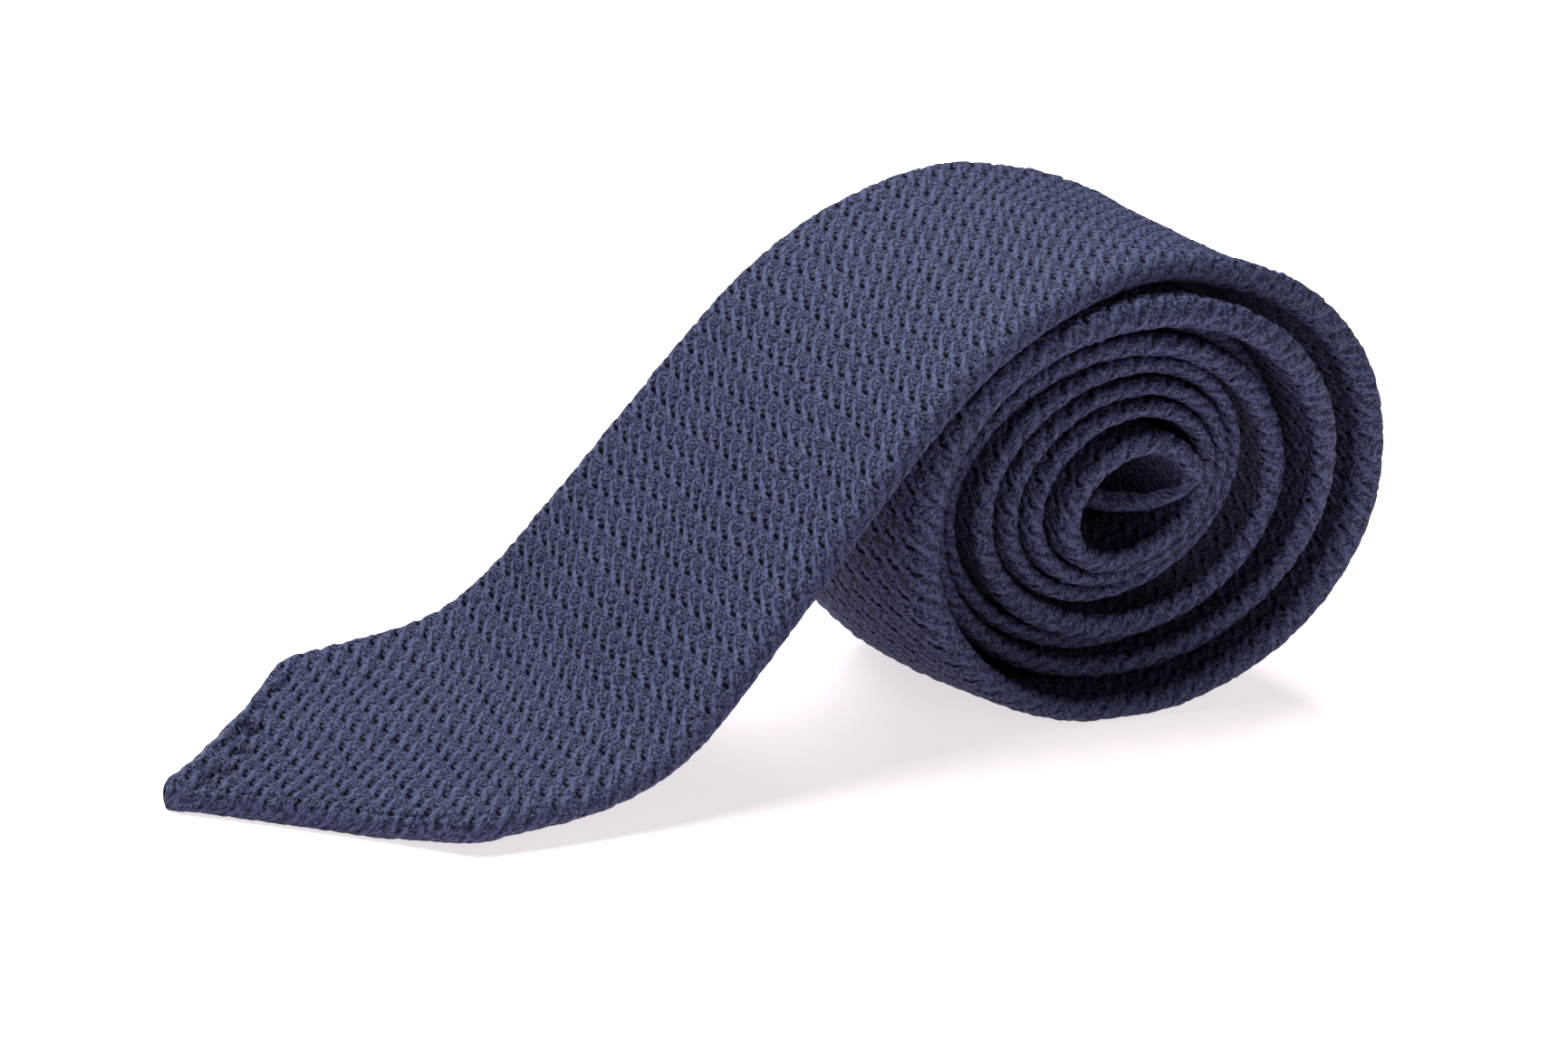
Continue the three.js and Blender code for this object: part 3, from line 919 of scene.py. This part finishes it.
def hollow_painted_shade(n, moved, fold, hem_painted_shade):
    """Painted shade in the holes and grooves of the weave, and in the dents and groove line of the hem"""
    painted_dark = None
    for row in HOLLOWS:
        reach, _ = n.element(moved, row)
        painted_shade = n.ramp(reach, HOLLOW_CORE, HOLLOW_RIM, row["painted_dark"], 0.0)
        painted_dark = painted_shade if painted_dark is None else n.math("ADD", painted_dark, painted_shade)
    painted_dark = n.math("MULTIPLY", painted_dark, n.ramp(fold, CLOSE_FROM, 1.0, 1.0, OPEN_ON_FOLD))
    painted_dark = n.math("MULTIPLY_ADD", hem_painted_shade, DENT_PAINTED_SHADE, painted_dark)
    return n.math("MINIMUM", painted_dark, 1.0)


def strand_wave(n, cell, moved, curled):
    """Waves of painted highlight on the single strands and painted shade between them: spirals on the
    knots, lines on the floats
    """
    knot_reach, knot_place = n.element(curled, RIDGES[0])
    knot_parts = n.add("ShaderNodeSeparateXYZ")
    n.put(knot_parts, 0, knot_place)
    knot_angle = n.math("ARCTAN2", knot_parts.outputs[1], knot_parts.outputs[0])
    knot = n.ramp(knot_reach, KNOT_CORE, KNOT_RIM, 1.0, 0.0)
    own_turn = noise(n, cell, KNOT_TURN_SCALE, 1.0)
    knot_angle = n.math("MULTIPLY_ADD", own_turn.outputs["Fac"], KNOT_TURN, knot_angle)
    ring = n.math("COSINE", n.math("MULTIPLY_ADD", knot_reach, KNOT_RINGS * 2 * math.pi, knot_angle))
    float_count = n.vector("DOT_PRODUCT", moved, FLOAT_STRAND_STEPS, out=1)
    float_strand = n.math("COSINE", n.math("MULTIPLY", float_count, 2 * math.pi))
    float_strand = n.math("MULTIPLY", float_strand, FLOAT_STRANDS)
    difference = n.math("SUBTRACT", ring, float_strand)
    return n.math("MULTIPLY_ADD", difference, knot, float_strand)


def grenadine():
    material = bpy.data.materials.new("grenadine_silk")
    material.use_nodes = True
    tree = material.node_tree
    tree.nodes.clear()
    n = Nodes(tree)
    cell = n.add("ShaderNodeUVMap", uv_map="Weave").outputs[0]
    fold_map = n.add("ShaderNodeUVMap", uv_map="FoldAndPaintedShade").outputs[0]
    fold_parts = n.add("ShaderNodeSeparateXYZ")
    n.put(fold_parts, 0, fold_map)
    fold = fold_parts.outputs[0]
    fine = noise(n, cell, STRAY_SCALE, 2.0)
    stray = n.vector("SUBTRACT", fine.outputs["Color"], (0.5, 0.5, 0.5))
    stray = n.vector("SCALE", stray)
    n.put(stray.node, "Scale", STRAY)
    moved = n.vector("ADD", cell, stray)
    curled = n.vector("ADD", moved, stray)
    painted_dark = hollow_painted_shade(n, moved, fold, fold_parts.outputs[1])
    strand = strand_wave(n, cell, moved, curled)

    raised = None
    for row in RIDGES[1:]:
        crest_reach, _ = n.element(moved, row)
        crest = n.ramp(crest_reach, FLOAT_CORE, 1.0, 1.0, 0.0)
        raised = crest if raised is None else n.math("MAXIMUM", raised, crest)
    across_rows = n.vector("DOT_PRODUCT", moved, (1.0, -1.0, 0.0), out=1)
    valley = n.math("COSINE", n.math("MULTIPLY", across_rows, 2 * math.pi))
    speck = noise(n, cell, SPECK_SCALE, 2.0, Roughness=0.6, Distortion=1.0)
    grain = n.math("SUBTRACT", speck.outputs["Fac"], 0.5)
    grain = n.math("MULTIPLY", grain, n.math("MULTIPLY_ADD", raised, SPECK_CALM, SPECK_SHARE))

    # Specks vary the yarn's tone at random; strands and floats get painted highlights, and the gaps between
    # strands and the valleys between rows get painted shade.
    tone_and_painted_light = n.math("ADD", grain, 0.5)
    tone_and_painted_light = n.math("MULTIPLY_ADD", strand, n.ramp(fold, FOLD_FROM, 1.0, *STRAND_PAINTED_LIGHT), tone_and_painted_light)
    tone_and_painted_light = n.math("MULTIPLY_ADD", raised, n.ramp(fold, FOLD_FROM, 1.0, *FLOAT_PAINTED_LIGHT), tone_and_painted_light)
    tone_and_painted_light = n.math("MULTIPLY_ADD", valley, ROW_PAINTED_SHADE, tone_and_painted_light)
    tone_and_painted_light = n.ramp(tone_and_painted_light, DARK_AT, LIGHT_AT, 0.0, 1.0)
    # The painted shade of the hollows and of the hem's dents takes the yarn toward near black.
    color = n.mix(painted_dark, n.mix(tone_and_painted_light, YARN_DARK, YARN_LIGHT), HOLLOW_PAINTED_SHADE)
    height = n.math("MULTIPLY_ADD", strand, STRAND_BUMP, painted_dark)
    height = n.math("MULTIPLY_ADD", grain, SPECK_BUMP, height)
    bump = n.add("ShaderNodeBump")
    n.put(bump, "Strength", BUMP_STRENGTH)
    n.put(bump, "Distance", BUMP_DEPTH * MM)
    n.put(bump, "Height", height)
    shader = n.add("ShaderNodeBsdfPrincipled")
    n.put(shader, "Base Color", color)
    n.put(shader, "Roughness", n.math("MULTIPLY_ADD", painted_dark, HOLLOW_ROUGHER, YARN_ROUGHNESS))
    n.put(shader, "Normal", bump.outputs[0])
    n.put(shader, "Specular IOR Level", YARN_SPECULAR)
    output = n.add("ShaderNodeOutputMaterial")
    tree.links.new(shader.outputs[0], output.inputs[0])
    return material


silk = grenadine()

# Spacing of the points across and along the cloth
FINE = 0.38
TURN_FINE = 0.5
EDGE_STEP = 0.5
MARGIN_STEP = 0.55
TAIL_FINE = 0.5
BACK_STEP = 1.0
FOLD_STEP = 0.45
CORE_FOLD_STEP = 0.4


def fold_count(half, step):
    return max(int(round(math.pi * half * (1 + FOLD_ROUNDNESS) / 2 / step)), 8)


# Typical widths that set how many points there are across the cloth, and half thicknesses for its folds
BLADE_ACROSS = 70
TURN_ACROSS = 62
TURN_BACK = 60
INNER_ACROSS = 46
CORE_ACROSS = 38
BLADE_HALF = 2.3
TURN_HALF = 2.2
INNER_HALF = 1.6
CORE_HALF = 1.4
# Widths of the margins that show on the hidden faces, and the number of columns between them
TURN_MARGIN = 14
FACE_MARGIN = 5
BACK_MARGIN = 10
TURN_BETWEEN = 8
INNER_BETWEEN = 4

blade_columns = section_columns(
    even_shares(BLADE_ACROSS, FINE),
    fold_count(BLADE_HALF, FINE),
    even_shares(BLADE_ACROSS, BACK_STEP),
)
turn_columns = section_columns(
    even_shares(TURN_ACROSS, TURN_FINE),
    fold_count(TURN_HALF, FOLD_STEP),
    margin_shares(TURN_BACK, TURN_MARGIN, MARGIN_STEP, TURN_BETWEEN),
)
inner_columns = section_columns(
    margin_shares(INNER_ACROSS, FACE_MARGIN, MARGIN_STEP, INNER_BETWEEN),
    fold_count(INNER_HALF, FOLD_STEP),
    margin_shares(INNER_ACROSS, BACK_MARGIN, MARGIN_STEP, INNER_BETWEEN),
)
core_columns = section_columns(
    even_shares(CORE_ACROSS, TAIL_FINE),
    fold_count(CORE_HALF, CORE_FOLD_STEP),
    even_shares(CORE_ACROSS, TAIL_FINE),
)

# The pieces follow each other along the cloth, and each begins where the one before it ends. The shell's
# three lengths meet at the seams. "back" is the share of the relief on the face that lies underneath.
POINT_END = 100.0
SLOPE_END = 201.0
TURN_MIDDLE = 330.0
TURN_ONE = place_of_turn(1.06)
SEAMS = (place_of_turn(2.0), place_of_turn(4.0))
CORE_START = place_of_turn(6.0)
TIE_END = line["total"] - TIP_START
PIECES = [
    dict(name="blade_point", end=POINT_END, step=FINE, columns=blade_columns, back=0.3),
    dict(name="blade_slope", end=SLOPE_END, step=FINE, columns=blade_columns, back=0.3),
    dict(name="outer_turn", end=TURN_MIDDLE, step=TURN_FINE, columns=turn_columns, back=1),
    dict(name="under_turn", end=TURN_ONE, step=TURN_FINE, columns=turn_columns, back=1),
    dict(name="second_turn", end=SEAMS[0], step=EDGE_STEP, columns=inner_columns, back=1),
    dict(name="neck_turns", end=SEAMS[1], step=EDGE_STEP, columns=inner_columns, back=1),
    dict(name="tail_turns", end=CORE_START, step=EDGE_STEP, columns=inner_columns, back=1),
    dict(name="tail_core", end=TIE_END, step=TAIL_FINE, columns=core_columns, back=1),
]
NODE_OF = {"neck_turns": "neck", "tail_turns": "tail", "tail_core": "tail"}

start = TIP_START
for row in PIECES:
    end = row["end"]
    obj = cloth_piece(row["name"], start, end, row["step"], row["columns"], row["back"])
    obj.data.materials.append(silk)
    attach(obj, "root")
    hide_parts(NODE_OF.get(row["name"], "front_blade"))
    start = end

# The table top, which glows a little so that it comes out as white as a lit studio table
FLOOR_SIZE = 6.0
FLOOR_COLOR = (0.93, 0.86, 0.91, 1)
FLOOR_GLOW_COLOR = (1.0, 0.93, 0.95, 1)
FLOOR_GLOW = 0.7
FLOOR_ROUGHNESS = 0.55
FLOOR_SPECULAR = 0.3
floor_mesh = bpy.data.meshes.new("floor")
corner = FLOOR_SIZE / 2
floor_corners = [(-corner, -corner, 0), (corner, -corner, 0), (corner, corner, 0), (-corner, corner, 0)]
floor_mesh.from_pydata(floor_corners, [], [(0, 1, 2, 3)])
floor = bpy.data.objects.new("floor", floor_mesh)
bpy.context.scene.collection.objects.link(floor)
floor_material = bpy.data.materials.new("white_table")
floor_material.use_nodes = True
floor_shader = floor_material.node_tree.nodes["Principled BSDF"]
floor_shader.inputs["Base Color"].default_value = FLOOR_COLOR
floor_shader.inputs["Roughness"].default_value = FLOOR_ROUGHNESS
floor_shader.inputs["Specular IOR Level"].default_value = FLOOR_SPECULAR
floor_shader.inputs["Emission Color"].default_value = FLOOR_GLOW_COLOR
floor_shader.inputs["Emission Strength"].default_value = FLOOR_GLOW
floor_mesh.materials.append(floor_material)

# Light: a wide soft box above and behind, a weaker one in front, and pale surroundings
LIGHTS = [
    dict(name="soft_box", place=(-0.12, 0.42, 1.0), aim=(0.0, 0.0, 0.03), size=1.2, power=35.0),
    dict(name="front_fill", place=(0.0, -1.2, 0.3), aim=(0.0, 0.0, 0.03), size=1.1, power=4.5),
]
for row in LIGHTS:
    data = bpy.data.lights.new(row["name"], "AREA")
    data.shape = "SQUARE"
    data.size = row["size"]
    data.energy = row["power"]
    lamp = bpy.data.objects.new(row["name"], data)
    lamp.location = row["place"]
    facing = Vector(row["aim"]) - Vector(row["place"])
    lamp.rotation_euler = facing.to_track_quat("-Z", "Y").to_euler()
    bpy.context.scene.collection.objects.link(lamp)

WORLD_COLOR = (0.95, 0.97, 1.0, 1)
WORLD_STRENGTH = 0.06
world = bpy.data.worlds.new("studio")
world.use_nodes = True
world.node_tree.nodes["Background"].inputs[0].default_value = WORLD_COLOR
world.node_tree.nodes["Background"].inputs[1].default_value = WORLD_STRENGTH
bpy.context.scene.world = world
bpy.context.scene.view_settings.view_transform = "Standard"

# The camera, as the photograph was taken
AZIMUTH = math.radians(-31.88)
ELEVATION = math.radians(18.33)
ROLL_ANGLE = math.radians(4.24)
DISTANCE = 0.6414
TARGET = (0.09137, 0.0, 0.04339)  # from the blade's tip
VIEW_WIDTH = math.radians(22)
SENSOR_WIDTH = 36.0
IMAGE_WIDTH = 1731  # pixels of the photograph
OFF_CENTRE_RIGHT = -90  # pixels that the optical axis stands off the middle of the image
OFF_CENTRE_DOWN = -52

back_to_camera = Vector(
    (
        math.sin(AZIMUTH) * math.cos(ELEVATION),
        -math.cos(AZIMUTH) * math.cos(ELEVATION),
        math.sin(ELEVATION),
    )
)
level_right = Vector((math.cos(AZIMUTH), math.sin(AZIMUTH), 0))
level_up = level_right.cross(-back_to_camera)
right = level_right * math.cos(ROLL_ANGLE) + level_up * math.sin(ROLL_ANGLE)
up = level_up * math.cos(ROLL_ANGLE) - level_right * math.sin(ROLL_ANGLE)
place = Vector(TARGET) + Vector((TIP_PLACE[0] * MM, TIP_PLACE[1] * MM, 0)) + back_to_camera * DISTANCE
camera_data = bpy.data.cameras.new("camera")
camera_data.sensor_width = SENSOR_WIDTH
camera_data.lens = SENSOR_WIDTH / 2 / math.tan(VIEW_WIDTH / 2)
camera_data.shift_x = -OFF_CENTRE_RIGHT / IMAGE_WIDTH
camera_data.shift_y = OFF_CENTRE_DOWN / IMAGE_WIDTH
camera = bpy.data.objects.new("camera", camera_data)
camera.matrix_world = Matrix(
    (
        (right.x, up.x, back_to_camera.x, place.x),
        (right.y, up.y, back_to_camera.y, place.y),
        (right.z, up.z, back_to_camera.z, place.z),
        (0, 0, 0, 1),
    )
)
bpy.context.scene.collection.objects.link(camera)
bpy.context.scene.camera = camera
